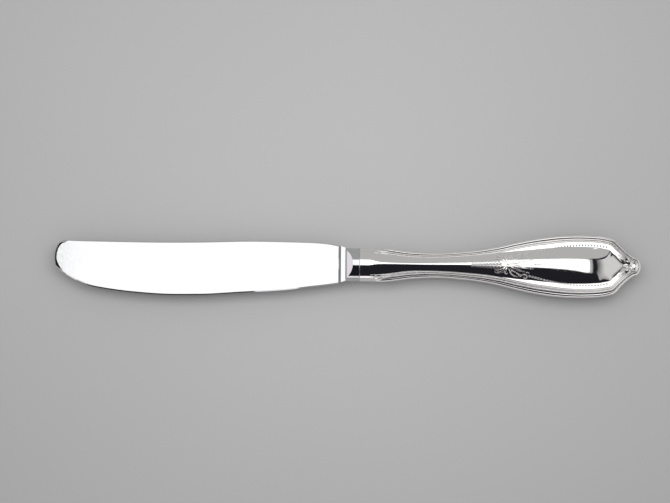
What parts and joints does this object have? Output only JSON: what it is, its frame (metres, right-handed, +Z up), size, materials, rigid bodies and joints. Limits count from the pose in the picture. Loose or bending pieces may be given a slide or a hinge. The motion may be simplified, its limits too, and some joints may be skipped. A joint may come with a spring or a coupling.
{
  "type": "fruit knife",
  "caption": "Fruit knife with a polished rounded blade and a hollow handle that has a threaded border, a beaded rail and a small nub at its end.",
  "frame": {"origin": "middle of the knife's outline seen from above, on the surface that the handle's back rests on", "axes": "+X runs from the tip of the blade to the end of the handle, +Y points to the spine side of the blade, +Z is up, square to the flat of the blade"},
  "size_m": [0.1762, 0.0191, 0.01],
  "materials": {
    "blade_steel": "mirror-polished stainless steel",
    "bolster_steel": "polished stainless steel with crisp ground facets",
    "handle_metal": "bright plated, mirror polished, faintly darkened in the grooves",
    "solder": "dressed flush and polished, a little duller than the metal beside it",
    "cement": "matt set cement"
  },
  "bodies": {
    "root": {"blade": "blade_steel", "bolster": "bolster_steel", "tang_braze": "solder", "mouth_solder": "solder", "handle_front_shell": "handle_metal", "handle_back_shell": "handle_metal", "seam_solder": "solder", "handle_filler": "cement"}
  },
  "joints": []
}
